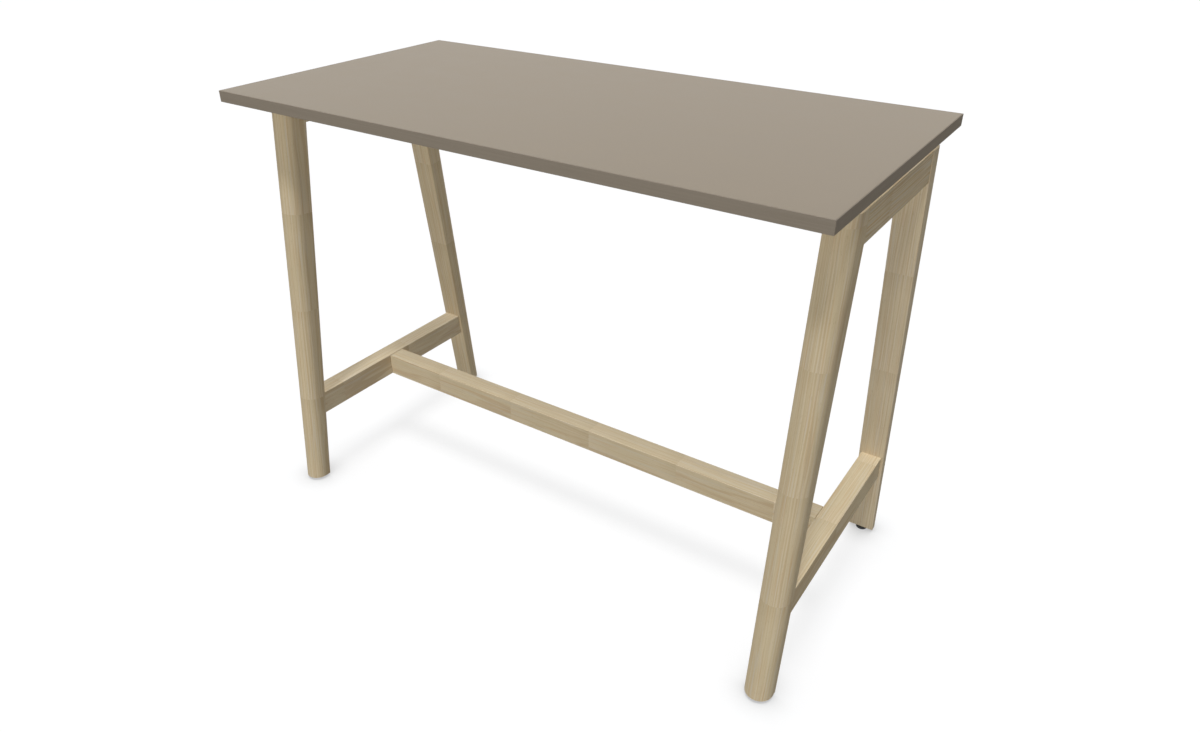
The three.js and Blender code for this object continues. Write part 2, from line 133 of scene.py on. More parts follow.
def makeBand(side):
    material, tree = newMaterial("extrudedAbs." + side)
    along = side in ("front", "back")  # these two run along X
    coord = add(tree, "ShaderNodeTexCoord")
    stretch = [1000 / bandAbs["lineMm"]] * 3
    stretch[0 if along else 1] = 1000 / bandAbs["runMm"]
    scaled = add(tree, "ShaderNodeMapping", {"Scale": stretch}, {"Vector": coord.outputs["Object"]})
    lines = add(tree, "ShaderNodeTexNoise", {"Scale": 1, "Detail": 2}, {"Vector": scaled.outputs[0]})
    tone = add(tree, "ShaderNodeValToRGB", links={"Fac": lines.outputs["Fac"]},
               stops=[(0.35, bandAbs["line"]), (0.65, bandAbs["colour"])])
    gloss = add(tree, "ShaderNodeMapRange",
                {"To Min": bandAbs["roughness"][0], "To Max": bandAbs["roughness"][1]},
                {"Value": lines.outputs["Fac"]})
    bump = add(tree, "ShaderNodeBump", {"Strength": 0.4, "Distance": bandAbs["bumpMm"] / 1000},
               {"Height": lines.outputs["Fac"]})
    shader = add(tree, "ShaderNodeBsdfPrincipled",
                 {"IOR": bandAbs["ior"], "Specular IOR Level": bandAbs["specular"]},
                 {"Base Color": tone.outputs["Color"], "Roughness": gloss.outputs[0],
                  "Normal": bump.outputs[0]})
    finishMaterial(tree, shader)
    return material


for side in ["front", "back", "left", "right"]:
    dress(["edge_band_" + side], makeBand(side))
print("top dressed")

# Planed ash in end-jointed staves under matt lacquer: straight pale grain with tan and greyish
# streaks, fine open pores, and a small step of tone at each joint
ash = {
    "pale": "cdbea1", "mid": "c7b797", "deep": "beaa8a",  # from early wood to late wood
    # the cut end colour is partly end grain under lacquer and partly painted shade for the gaps where ends
    # meet
    "tan": "c1a27c", "grey": "c7beac", "pore": "9b8565", "cutEndAndGapShade": "b4a68c",
    "staveMm": 250, "alongStave": [(0, "ffffff"), (0.4, "fcfcfa"), (0.8, "fefefd"), (1, "f8f7f4")],
    "staveTone": (0.985, 1.015), "staveShiftMm": (400, 400, 900),  # from stave to stave
    "ringMm": 2.7, "pithMm": (150, 170, 0), "pithSpreadMm": (70, 70, 0),
    "wanderMm": 18, "wanderAcrossMm": 45, "wanderRunMm": 420,  # how far and how fast the rings stray
    "fibreMm": 2, "fibreRunMm": 140, "fibreShare": 0.7,  # real ones are under 0.5 mm; coarser, to show
    "streakMm": 2.5, "streakRunMm": 120, "streakMost": 0.5,
    "poreMm": 0.8, "poreRunMm": 9, "poreMost": 0.4,
    "roughness": (0.6, 0.82), "ior": 1.5, "specular": 0.02, "bumpMm": 0.05,
}
seedStep = 17.3  # keeps the chance numbers of two members apart
greyShift = (31, 57, 11)  # keeps grey streaks off the tan ones
grainMiddle = 0.85  # tone that figure turns about


# Texture scale of a pattern that is so wide across the grain and so long along it
def runGrid(across, run):
    return (1 / across, 1 / across, 1 / run)


# turn brings the member's length to Z, and start shifts where its staves join. figure and streaks draw
# its rings and streaks more or less strongly, strength and value tone it, and ends darkens its cut ends,
# partly as end grain under lacquer and partly as painted shade in the gaps where they meet other members
def makeAsh(name, turn, start, seed, figure=1, streaks=1, strength=1, value=1, ends=1):
    material, tree = newMaterial("lacqueredAsh." + name)
    coord = add(tree, "ShaderNodeTexCoord")
    local = add(tree, "ShaderNodeMapping", {"Rotation": turn, "Scale": (1000, 1000, 1000)},
                {"Vector": coord.outputs["Object"]})  # millimetres, Z along the grain
    axes = add(tree, "ShaderNodeSeparateXYZ", links={0: local.outputs[0]})

    # staves, which meet in straight lines across the member
    stave = add(tree, "ShaderNodeMath",
                {"operation": "MULTIPLY_ADD", 1: 1 / ash["staveMm"], 2: start / ash["staveMm"]},
                {0: axes.outputs["Z"]})
    number = add(tree, "ShaderNodeMath", {"operation": "FLOOR"}, {0: stave.outputs[0]})
    place = add(tree, "ShaderNodeMath", {"operation": "FRACT"}, {0: stave.outputs[0]})
    keyed = add(tree, "ShaderNodeMath", {"operation": "ADD", 1: seed * seedStep}, {0: number.outputs[0]})
    chance = add(tree, "ShaderNodeTexWhiteNoise", {"noise_dimensions": "1D"}, {"W": keyed.outputs[0]})
    board = add(tree, "ShaderNodeVectorMath", {"operation": "MULTIPLY_ADD", 1: ash["staveShiftMm"]},
                {0: chance.outputs["Color"], 2: local.outputs[0]})

    # year rings about a far pith, so that every face shows straight grain
    wander = add(tree, "ShaderNodeMapping", {"Scale": runGrid(ash["wanderAcrossMm"], ash["wanderRunMm"])},
                 {"Vector": board.outputs[0]})
    drift = add(tree, "ShaderNodeTexNoise", {"Scale": 1, "Detail": 2}, {"Vector": wander.outputs[0]})
    pith = add(tree, "ShaderNodeVectorMath",
               {"operation": "MULTIPLY_ADD", 1: ash["pithSpreadMm"], 2: ash["pithMm"]},
               {0: chance.outputs["Color"]})
    spread = add(tree, "ShaderNodeVectorMath", {"operation": "MULTIPLY_ADD", 1: (1, 1, 0)},
                 {0: local.outputs[0], 2: pith.outputs[0]})
    radius = add(tree, "ShaderNodeVectorMath", {"operation": "LENGTH"}, {0: spread.outputs[0]})
    bent = add(tree, "ShaderNodeMath", {"operation": "MULTIPLY_ADD", 1: ash["wanderMm"]},
               {0: drift.outputs["Fac"], 2: radius.outputs["Value"]})
    year = add(tree, "ShaderNodeMath", {"operation": "DIVIDE", 1: ash["ringMm"]}, {0: bent.outputs[0]})
    rings = add(tree, "ShaderNodeTexNoise", {"noise_dimensions": "1D", "Scale": 1, "Detail": 2},
                {"W": year.outputs[0]})

    # fibres, tan and greyish streaks and pores, all drawn out along the grain
    fibreGrid = add(tree, "ShaderNodeMapping", {"Scale": runGrid(ash["fibreMm"], ash["fibreRunMm"])},
                    {"Vector": board.outputs[0]})
    fibre = add(tree, "ShaderNodeTexNoise", {"Scale": 1, "Detail": 3}, {"Vector": fibreGrid.outputs[0]})
    streakGrid = add(tree, "ShaderNodeMapping", {"Scale": runGrid(ash["streakMm"], ash["streakRunMm"])},
                     {"Vector": board.outputs[0]})
    tanNoise = add(tree, "ShaderNodeTexNoise", {"Scale": 1, "Detail": 2},
                   {"Vector": streakGrid.outputs[0]})
    greyGrid = add(tree, "ShaderNodeVectorMath", {"operation": "ADD", 1: greyShift},
                   {0: streakGrid.outputs[0]})
    greyNoise = add(tree, "ShaderNodeTexNoise", {"Scale": 0.8, "Detail": 2},
                    {"Vector": greyGrid.outputs[0]})
    poreGrid = add(tree, "ShaderNodeMapping", {"Scale": runGrid(ash["poreMm"], ash["poreRunMm"])},
                   {"Vector": board.outputs[0]})
    poreNoise = add(tree, "ShaderNodeTexNoise", {"Scale": 1, "Detail": 1},
                    {"Vector": poreGrid.outputs[0]})

    blend = add(tree, "ShaderNodeMath", {"operation": "MULTIPLY_ADD", 1: ash["fibreShare"]},
                {0: fibre.outputs["Fac"], 2: rings.outputs["Fac"]})
    drawn = add(tree, "ShaderNodeMath",
                {"operation": "MULTIPLY_ADD", 1: figure, 2: grainMiddle * (1 - figure)},
                {0: blend.outputs[0]})
    grain = add(tree, "ShaderNodeValToRGB", links={"Fac": drawn.outputs[0]},
                stops=[(0.6, ash["pale"]), (grainMiddle, ash["mid"]), (1, ash["deep"])])
    streakShare = ash["streakMost"] * streaks
    tanShare = add(tree, "ShaderNodeMapRange", {"From Min": 0.54, "From Max": 0.72, "To Max": streakShare},
                   {"Value": tanNoise.outputs["Fac"]})
    withTan = add(tree, "ShaderNodeMix", {"data_type": "RGBA", 7: linear(ash["tan"])},
                  {0: tanShare.outputs[0], 6: grain.outputs["Color"]})
    greyShare = add(tree, "ShaderNodeMapRange", {"From Min": 0.54, "From Max": 0.68, "To Max": streakShare},
                    {"Value": greyNoise.outputs["Fac"]})
    withGrey = add(tree, "ShaderNodeMix", {"data_type": "RGBA", 7: linear(ash["grey"])},
                   {0: greyShare.outputs[0], 6: withTan.outputs[2]})
    poreShare = add(tree, "ShaderNodeMapRange",
                    {"From Min": 0.66, "From Max": 0.74, "To Max": ash["poreMost"]},
                    {"Value": poreNoise.outputs["Fac"]})
    withPores = add(tree, "ShaderNodeMix", {"data_type": "RGBA", 7: linear(ash["pore"])},
                    {0: poreShare.outputs[0], 6: withGrey.outputs[2]})

    # cut ends drink more lacquer and turn darker; this darkening also paints shade into the narrow gaps where
    # a member's end meets another one
    facing = add(tree, "ShaderNodeNewGeometry")
    facingTurned = add(tree, "ShaderNodeMapping", {"vector_type": "NORMAL", "Rotation": turn},
                       {"Vector": facing.outputs["True Normal"]})
    facingAxes = add(tree, "ShaderNodeSeparateXYZ", links={0: facingTurned.outputs[0]})
    facingEnd = add(tree, "ShaderNodeMath", {"operation": "ABSOLUTE"}, {0: facingAxes.outputs["Z"]})
    endShare = add(tree, "ShaderNodeMapRange", {"From Min": 0.5, "From Max": 0.65, "To Max": ends},
                   {"Value": facingEnd.outputs[0]})
    withEnds = add(tree, "ShaderNodeMix",
                   {"data_type": "RGBA", "blend_type": "MULTIPLY", 7: linear(ash["cutEndAndGapShade"])},
                   {0: endShare.outputs[0], 6: withPores.outputs[2]})

    # each stave has its own tone, and grows darker and warmer towards one end
    along = add(tree, "ShaderNodeValToRGB", links={"Fac": place.outputs[0]}, stops=ash["alongStave"])
    shaded = add(tree, "ShaderNodeMix", {"data_type": "RGBA", "blend_type": "MULTIPLY", 0: 1},
                 {6: withEnds.outputs[2], 7: along.outputs["Color"]})
    level = add(tree, "ShaderNodeMapRange",
                {"To Min": ash["staveTone"][0] * value, "To Max": ash["staveTone"][1] * value},
                {"Value": chance.outputs["Value"]})
    toned = add(tree, "ShaderNodeHueSaturation", {"Saturation": strength},
                {"Value": level.outputs[0], "Color": shaded.outputs[2]})

    gloss = add(tree, "ShaderNodeMapRange", {"To Min": ash["roughness"][0], "To Max": ash["roughness"][1]},
                {"Value": fibre.outputs["Fac"]})
    relief = add(tree, "ShaderNodeMath", {"operation": "SUBTRACT"},
                 {0: fibre.outputs["Fac"], 1: poreShare.outputs[0]})
    bump = add(tree, "ShaderNodeBump", {"Strength": 0.6, "Distance": ash["bumpMm"] / 1000},
               {"Height": relief.outputs[0]})
    shader = add(tree, "ShaderNodeBsdfPrincipled",
                 {"IOR": ash["ior"], "Specular IOR Level": ash["specular"]},
                 {"Base Color": toned.outputs[0], "Roughness": gloss.outputs[0], "Normal": bump.outputs[0]})
    finishMaterial(tree, shader)
    return material


legLean = math.radians(6.4)  # mean lean of a leg's flat and nose, seen from the end
leanBack, leanFront = (legLean, 0, 0), (-legLean, 0, 0)
alongX, alongY = (0, -math.pi / 2, 0), (math.pi / 2, 0, 0)
timber = {
    "leg_front_left": {"turn": leanBack, "start": 37, "seed": 1, "figure": 0.8, "ends": 0.2},
    "leg_front_right": {"turn": leanBack, "start": 37, "seed": 2, "figure": 0.75, "ends": 0.2},
    "leg_back_left": {"turn": leanFront, "start": 31, "seed": 3, "ends": 0.2},
    "leg_back_right": {"turn": leanFront, "start": 31, "seed": 4, "strength": 0.93, "ends": 0.2},
    "top_rail_left": {"turn": alongY, "start": 120, "seed": 5},
    "top_rail_right": {"turn": alongY, "start": 60, "seed": 12, "figure": 2, "streaks": 2},
    "stretcher_left": {"turn": alongY, "start": 200, "seed": 7, "figure": 1.5, "strength": 0.95,
                       "value": 1.05},
    "stretcher_right": {"turn": alongY, "start": 20, "seed": 8, "figure": 0.6},
    "footrest_beam": {"turn": alongX, "start": 204, "seed": 9, "figure": 0.8, "strength": 0.97},
}
for name, member in timber.items():
    dress([name], makeAsh(name, **member))
print("timber dressed:", len(timber), "members")

# Milled beech tenons and dowels: pinkish, plain, with short dark ray flecks, unfinished
beech = {
    "colour": "d3ad80", "shade": "c49a6b", "fleck": "a87b50",
    "grainMm": 3, "grainRunMm": 24, "fleckMm": 1.2, "fleckMost": 0.5, "roughness": 0.7, "bumpMm": 0.05,
}


def makeBeech():
    material, tree = newMaterial("milledBeech")
    coord = add(tree, "ShaderNodeTexCoord")
    grid = add(tree, "ShaderNodeMapping",
               {"Scale": runGrid(beech["grainMm"] / 1000, beech["grainRunMm"] / 1000)},
               {"Vector": coord.outputs["Object"]})
    grain = add(tree, "ShaderNodeTexNoise", {"Scale": 1, "Detail": 3}, {"Vector": grid.outputs[0]})
    tone = add(tree, "ShaderNodeValToRGB", links={"Fac": grain.outputs["Fac"]},
               stops=[(0.35, beech["shade"]), (0.65, beech["colour"])])
    rays = add(tree, "ShaderNodeTexVoronoi", {"Scale": 1000 / beech["fleckMm"]},
               {"Vector": coord.outputs["Object"]})
    share = add(tree, "ShaderNodeMapRange",
                {"From Min": 0.3, "From Max": 0.12, "To Max": beech["fleckMost"]},
                {"Value": rays.outputs["Distance"]})
    flecked = add(tree, "ShaderNodeMix", {"data_type": "RGBA", 7: linear(beech["fleck"])},
                  {0: share.outputs[0], 6: tone.outputs["Color"]})
    bump = add(tree, "ShaderNodeBump", {"Strength": 0.4, "Distance": beech["bumpMm"] / 1000},
               {"Height": grain.outputs["Fac"]})
    shader = add(tree, "ShaderNodeBsdfPrincipled", {"Roughness": beech["roughness"]},
                 {"Base Color": flecked.outputs[2], "Normal": bump.outputs[0]})
    finishMaterial(tree, shader)
    return material


dress([n for n in nodes if n.startswith(("rail_tenon_", "stretcher_tenon_", "beam_dowel_"))], makeBeech())

# Zinc plated steel: a thin bright bluish plating over turned metal, with cloudy patches in the gloss
zinc = {"colour": "c2c5c9", "shade": "a9adb2", "patchMm": 4, "roughness": (0.23, 0.45)}


def makeZinc():
    material, tree = newMaterial("zincPlatedSteel")
    coord = add(tree, "ShaderNodeTexCoord")
    patch = add(tree, "ShaderNodeTexNoise", {"Scale": 1000 / zinc["patchMm"], "Detail": 3},
                {"Vector": coord.outputs["Object"]})
    tone = add(tree, "ShaderNodeValToRGB", links={"Fac": patch.outputs["Fac"]},
               stops=[(0.3, zinc["shade"]), (0.7, zinc["colour"])])
    gloss = add(tree, "ShaderNodeMapRange",
                {"To Min": zinc["roughness"][0], "To Max": zinc["roughness"][1]},
                {"Value": patch.outputs["Fac"]})
    shader = add(tree, "ShaderNodeBsdfPrincipled", {"Metallic": 1},
                 {"Base Color": tone.outputs["Color"], "Roughness": gloss.outputs[0]})
    finishMaterial(tree, shader)
    return material


zincSteel = makeZinc()
dress([n for n in nodes if n.startswith(("top_bolt_", "top_insert_", "glider_insert_", "glider_stem_",
                                         "beam_bolt_", "beam_washer_", "beam_nut_"))], zincSteel)

# Powder coated steel: a baked dark coat with fine orange peel, which blurs its sheen
powder = {
    "colour": "2f2f30", "shade": "262627", "peelMm": 1.6,
    "roughness": (0.42, 0.58), "ior": 1.5, "bumpMm": 0.04,
}


def makePowder():
    material, tree = newMaterial("powderCoatedSteel")
    coord = add(tree, "ShaderNodeTexCoord")
    peel = add(tree, "ShaderNodeTexNoise", {"Scale": 1000 / powder["peelMm"], "Detail": 2},
               {"Vector": coord.outputs["Object"]})
    tone = add(tree, "ShaderNodeValToRGB", links={"Fac": peel.outputs["Fac"]},
               stops=[(0.35, powder["shade"]), (0.65, powder["colour"])])
    gloss = add(tree, "ShaderNodeMapRange",
                {"To Min": powder["roughness"][0], "To Max": powder["roughness"][1]},
                {"Value": peel.outputs["Fac"]})
    bump = add(tree, "ShaderNodeBump", {"Strength": 0.5, "Distance": powder["bumpMm"] / 1000},
               {"Height": peel.outputs["Fac"]})
    shader = add(tree, "ShaderNodeBsdfPrincipled", {"IOR": powder["ior"]},
                 {"Base Color": tone.outputs["Color"], "Roughness": gloss.outputs[0],
                  "Normal": bump.outputs[0]})
    finishMaterial(tree, shader)
    return material


dress(["top_stiffener_front", "top_stiffener_back"], makePowder())

# Moulded black nylon: a satin skin with the fine spark texture of its mould
nylon = {
    "colour": "1e1f20", "shade": "161718", "sparkMm": 0.6,
    "roughness": (0.39, 0.53), "ior": 1.53, "bumpMm": 0.02,
}


def makeNylon():
    material, tree = newMaterial("mouldedNylon")
    coord = add(tree, "ShaderNodeTexCoord")
    spark = add(tree, "ShaderNodeTexNoise", {"Scale": 1000 / nylon["sparkMm"], "Detail": 2},
                {"Vector": coord.outputs["Object"]})
    tone = add(tree, "ShaderNodeValToRGB", links={"Fac": spark.outputs["Fac"]},
               stops=[(0.35, nylon["shade"]), (0.65, nylon["colour"])])
    gloss = add(tree, "ShaderNodeMapRange",
                {"To Min": nylon["roughness"][0], "To Max": nylon["roughness"][1]},
                {"Value": spark.outputs["Fac"]})
    bump = add(tree, "ShaderNodeBump", {"Strength": 0.5, "Distance": nylon["bumpMm"] / 1000},
               {"Height": spark.outputs["Fac"]})
    shader = add(tree, "ShaderNodeBsdfPrincipled", {"IOR": nylon["ior"]},
                 {"Base Color": tone.outputs["Color"], "Roughness": gloss.outputs[0],
                  "Normal": bump.outputs[0]})
    finishMaterial(tree, shader)
    return material


dress([n for n in nodes if n.startswith(("top_spacer_", "glider_pad_"))], makeNylon())
print("fittings dressed")

# Round members arrive as flat facets: a copy of the same shape with smooth shading stands for each
rounded = [("leg_", "timber", "table"), ("top_spacer_", "black_plastic", "table"),
           ("glider_pad_", "black_plastic", "pad_")]
roundedAngle = math.radians(25)  # facets that meet at less than this are one round face
corners = ["front_left", "front_right", "back_left", "back_right"]
smoothed = {}


def smoothCopy(node, body):
    build = bmesh.new()
    build.from_mesh(nodes[node].data)
    bmesh.ops.remove_doubles(build, verts=build.verts, dist=1e-6)
    build.verts.index_update()
    mesh = bpy.data.meshes.new("round_" + node)
    faces = [[v.index for v in face.verts] for face in build.faces]
    mesh.from_pydata([v.co for v in build.verts], [], faces)
    build.free()
    mesh.materials.append(nodes[node].data.materials[0])
    mesh.shade_smooth()
    mesh.set_sharp_from_angle(angle=roundedAngle)
    piece = bpy.data.objects.new("round_" + node, mesh)
    bpy.context.scene.collection.objects.link(piece)
    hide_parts(node)
    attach(piece, body)
    return piece


for start, slot, body in rounded:
    for corner in corners:
        ridden = body + corner if body.endswith("_") else body
        smoothed[start + corner] = smoothCopy(start + corner, ridden)
print("rounded:", len(smoothed), "pieces")


# Spins (radius, height) pairs in millimetres about Z
def spinProfile(build, profile, steps):
    points = [build.verts.new((r / 1000, 0, z / 1000)) for r, z in profile]
    edges = [build.edges.new(pair) for pair in zip(points, points[1:])]
    bmesh.ops.spin(build, geom=points + edges, axis=(0, 0, 1), cent=(0, 0, 0),
                   angle=2 * math.pi, steps=steps)


# Joins points that meet, turns the faces outwards and makes the mesh
def closedMesh(build, name):
    bmesh.ops.remove_doubles(build, verts=build.verts, dist=1e-6)
    bmesh.ops.recalc_face_normals(build, faces=build.faces)
    mesh = bpy.data.meshes.new(name)
    build.to_mesh(mesh)
    build.free()
    return mesh


sharpAngle = math.radians(35)  # edges of screws, stems and bolts that bend more than this stay sharp

# Screws of the stiffeners: pan heads with a cross recess, each on the face of its hole
screw = {
    "headMm": 9.6, "heightMm": 2.6, "rimMm": 0.6,
    "recessMm": 5.2, "recessWidthMm": 1.3, "recessDepthMm": 1.8,
    "floorReach": 0.45, "floorWidth": 0.78,  # floor of the recess as shares of its mouth
    "turnStep": 0.7,  # radians from screw to screw, so that no two crosses line up
}


def makeScrewMesh():
    radius, height, rimHeight = screw["headMm"] / 2, screw["heightMm"], screw["rimMm"]
    angles = [i * math.pi / 16 for i in range(8)]
    rise = [(radius * math.cos(a), rimHeight + (height - rimHeight) * math.sin(a)) for a in angles]
    build = bmesh.new()
    spinProfile(build, [(0, 0), (radius, 0)] + rise + [(0, height)], 32)
    mesh = closedMesh(build, "screw_head")
    build = bmesh.new()
    half, width, deep = screw["recessMm"] / 2, screw["recessWidthMm"] / 2, screw["recessDepthMm"]
    # outlines of the cross, which narrows towards its floor, from there to clear above the head
    outlines = [(screw["floorReach"] * half, screw["floorWidth"] * width, height - deep),
                (half, width, height + 0.5)]
    offEdges = 0.1  # radians, so that the corners of the cross miss the head's edges
    quarters = [Matrix.Rotation(quarter * math.pi / 2 + offEdges, 3, "Z") for quarter in range(4)]
    rings = []
    for reach, side, z in outlines:
        corner = [(reach, -side), (reach, side), (side, side)]
        arm = [Vector((x / 1000, y / 1000, z / 1000)) for x, y in corner]
        rings.append([build.verts.new(quarter @ point) for quarter in quarters for point in arm])
    deepest, rim = rings
    for i in range(len(rim)):
        build.faces.new((deepest[i - 1], deepest[i], rim[i], rim[i - 1]))
    for ring in rings:
        build.faces.new(ring)
    tool = closedMesh(build, "recess")
    head = bpy.data.objects.new("screw_blank", mesh)
    cutter = bpy.data.objects.new("screw_recess", tool)
    for item in (head, cutter):
        bpy.context.scene.collection.objects.link(item)
    cut = head.modifiers.new("recess", "BOOLEAN")
    cut.object, cut.operation, cut.solver = cutter, "DIFFERENCE", "EXACT"
    bpy.context.view_layer.update()
    result = bpy.data.meshes.new_from_object(head.evaluated_get(bpy.context.evaluated_depsgraph_get()))
    for item in (head, cutter):
        bpy.data.objects.remove(item)
    result.name = "screw_head"
    result.materials.clear()
    result.materials.append(zincSteel)
    result.shade_smooth()
    result.set_sharp_from_angle(angle=sharpAngle)
    return result


def placeScrew(name, mesh, place, facing, turn):
    piece = bpy.data.objects.new(name, mesh)
    aim = Vector(facing).to_track_quat("Z", "Y").to_matrix().to_4x4()
    piece.matrix_world = Matrix.Translation(place) @ aim @ Matrix.Rotation(turn, 4, "Z")
    bpy.context.scene.collection.objects.link(piece)
    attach(piece, "table")


# Where the screws sit on a stiffener: along its web, and in the plate at each of its ends
stiffener = {"sheetMm": 2, "webPitchMm": 400, "plateMm": 3, "platePitchMm": 20, "plateEdgeMm": 10}
sheet, plate = stiffener["sheetMm"] / 1000, stiffener["plateMm"] / 1000
webPitch, plateHalf = stiffener["webPitchMm"] / 1000, stiffener["platePitchMm"] / 2000
screwMesh = makeScrewMesh()
screwCount = 0
for row in ["front", "back"]:
    low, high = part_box("top_stiffener_" + row)
    middle = (low.y + high.y) / 2
    for x in (-webPitch, 0, webPitch):
        placeScrew(f"web_screw_{row}_{screwCount}", screwMesh, (x, middle, high.z - sheet), (0, 0, -1),
                   screw["turnStep"] * screwCount)
        screwCount += 1
    for side in (-1, 1):
        for y in (-plateHalf, plateHalf):
            spot = (side * (high.x - plate), middle + y, low.z + stiffener["plateEdgeMm"] / 1000)
            placeScrew(f"plate_screw_{row}_{screwCount}", screwMesh, spot, (-side, 0, 0),
                       screw["turnStep"] * screwCount)
            screwCount += 1
print("screws placed:", screwCount)

# Rolled threads of the glider stems and of the hanger bolts in the beam: radii and heights in
# millimetres
stemThread = {"pitch": 1, "crest": 2.97, "root": 2.4, "start": 6.6, "end": 46.6}
boltThread = {"pitch": 1.25, "crest": 3.97, "root": 3.3, "start": 0, "end": 46}


# The rows of points climb with the thread, so that its crests stay sharp; below and above are
# (radius, height) pairs that close its two ends
def threadedMesh(name, thread, below, above):
    steps, pitch, root = 24, thread["pitch"], thread["root"]
    shape = [(0, root), (0.25, root), (0.56, thread["crest"]), (0.69, thread["crest"])]  # of one pitch
    turns = math.ceil((thread["end"] - thread["start"]) / pitch)
    rows = [(n + part, radius) for n in range(-1, turns + 1) for part, radius in shape]
    build = bmesh.new()
    columns = []
    for step in range(steps):
        angle = 2 * math.pi * step / steps
        column = []
        for climb, radius in rows:
            z = min(max(thread["start"] + pitch * (climb + step / steps), thread["start"]), thread["end"])
            r = min(radius, root + min(z - thread["start"], thread["end"] - z))  # runs out at both ends
            x, y = r * math.cos(angle), r * math.sin(angle)
            column.append(build.verts.new((x / 1000, y / 1000, z / 1000)))
        columns.append(column)
    for step in range(steps):
        before, after = columns[step], columns[(step + 1) % steps]
        shift = len(shape) if step == steps - 1 else 0  # the last column meets the first one turn higher
        for i in range(len(rows) - 1 - shift):
            build.faces.new((before[i], after[i + shift], after[i + shift + 1], before[i + 1]))
    for profile in (below, above):
        spinProfile(build, profile, steps)
    mesh = closedMesh(build, name)
    mesh.materials.append(zincSteel)
    mesh.shade_smooth()
    mesh.set_sharp_from_angle(angle=sharpAngle)
    return mesh


def placeThreaded(name, mesh, place, node, body):
    piece = bpy.data.objects.new(name, mesh)
    piece.matrix_world = place
    bpy.context.scene.collection.objects.link(piece)
    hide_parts(node)
    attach(piece, body)


ball = {"radius": 2.5, "middle": 3.5, "foot": 1, "neck": 1.7, "neckFrom": 5.4}  # lower end of a stem
shank = {"radius": 3.9, "start": 46.6, "end": 79.3, "tipRadius": 2, "tip": 83.3}  # wood end of a bolt
ballAngles = [math.radians(degrees) for degrees in range(-80, 48, 16)]
ballSide = [(ball["radius"] * math.cos(a), ball["middle"] + ball["radius"] * math.sin(a)) for a in ballAngles]
stemBelow = [(0, ball["foot"])] + ballSide + [
    (ball["neck"], ball["neckFrom"]), (ball["neck"], stemThread["start"]),
    (stemThread["root"], stemThread["start"])]
stemAbove = [(stemThread["root"], stemThread["end"]), (0, stemThread["end"])]
boltBelow = [(0, boltThread["start"]), (boltThread["root"], boltThread["start"])]
boltAbove = [
    (boltThread["root"], boltThread["end"]), (shank["radius"], shank["start"]),
    (shank["radius"], shank["end"]), (shank["tipRadius"], shank["tip"]), (0, shank["tip"])]
stemMesh = threadedMesh("threaded_stem", stemThread, stemBelow, stemAbove)
boltMesh = threadedMesh("hanger_bolt", boltThread, boltBelow, boltAbove)
for corner in corners:
    lowest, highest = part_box("glider_stem_" + corner)
    place = Matrix.Translation(((lowest.x + highest.x) / 2, (lowest.y + highest.y) / 2, 0))
    placeThreaded("threaded_stem_" + corner, stemMesh, place, "glider_stem_" + corner, "stem_" + corner)
for end, side in [("left", -1), ("right", 1)]:
    lowest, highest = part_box("beam_bolt_" + end)
    inner = side * min(abs(lowest.x), abs(highest.x))
    spot = (inner, (lowest.y + highest.y) / 2, (lowest.z + highest.z) / 2)
    place = Matrix.Translation(spot) @ Matrix.Rotation(side * math.pi / 2, 4, "Y")
    placeThreaded("hanger_bolt_" + end, boltMesh, place, "beam_bolt_" + end, "table")
print("threads cut: 4 stems, 2 bolts")

# Floor and light
studio = {
    "paperMm": 12000, "paper": "747474", "glow": 0.71, "fibreMm": 1.2, "bumpMm": 0.1,
    # painted contact shade: how much the floor's glow darkens close to the feet
    "paintedContactShade": [(0.4, "c4c4c4"), (0.95, "ffffff")], "reachMm": 90,  # tones of the floor close to the feet
    "dome": 0.045,
}


# 1 on rays that show the floor or the world to the eye, direct or mirrored
def seenDirectly(tree):
    path = add(tree, "ShaderNodeLightPath")
    seen = add(tree, "ShaderNodeMath", {"operation": "MAXIMUM"},
               {0: path.outputs["Is Camera Ray"], 1: path.outputs["Is Glossy Ray"]})
    return add(tree, "ShaderNodeMath", {"operation": "MAXIMUM"},
               {0: seen.outputs[0], 1: path.outputs["Is Transmission Ray"]})


# Matt studio paper: its own glow keeps it white to the eye, with painted contact shade darkening that glow
# close to the feet, and the rest of its light shows the shadow of the table
def makeFloor():
    material, tree = newMaterial("mattStudioPaper")
    # painted contact shade: ambient occlusion darkens the glow where the floor lies close to the feet
    contactShade = add(tree, "ShaderNodeAmbientOcclusion", {"samples": 16, "Distance": studio["reachMm"] / 1000})
    tone = add(tree, "ShaderNodeValToRGB", links={"Fac": contactShade.outputs["AO"]}, stops=studio["paintedContactShade"])
    glow = add(tree, "ShaderNodeMath", {"operation": "MULTIPLY", 1: studio["glow"]},
               {0: seenDirectly(tree).outputs[0]})
    bright = add(tree, "ShaderNodeEmission",
                 links={"Color": tone.outputs["Color"], "Strength": glow.outputs[0]})
    coord = add(tree, "ShaderNodeTexCoord")
    fibres = add(tree, "ShaderNodeTexNoise", {"Scale": 1000 / studio["fibreMm"], "Detail": 2},
                 {"Vector": coord.outputs["Object"]})
    bump = add(tree, "ShaderNodeBump", {"Strength": 0.1, "Distance": studio["bumpMm"] / 1000},
               {"Height": fibres.outputs["Fac"]})
    matt = add(tree, "ShaderNodeBsdfDiffuse", {"Color": linear(studio["paper"])},
               {"Normal": bump.outputs[0]})
    shader = add(tree, "ShaderNodeAddShader", links={0: matt.outputs[0], 1: bright.outputs[0]})
    finishMaterial(tree, shader)
    return material


build = bmesh.new()
bmesh.ops.create_circle(build, cap_ends=True, segments=64, radius=studio["paperMm"] / 1000)
floorMesh = bpy.data.meshes.new("studio_paper")
build.to_mesh(floorMesh)
build.free()
floorMesh.materials.append(makeFloor())
floor = bpy.data.objects.new("studio_paper", floorMesh)
bpy.context.scene.collection.objects.link(floor)

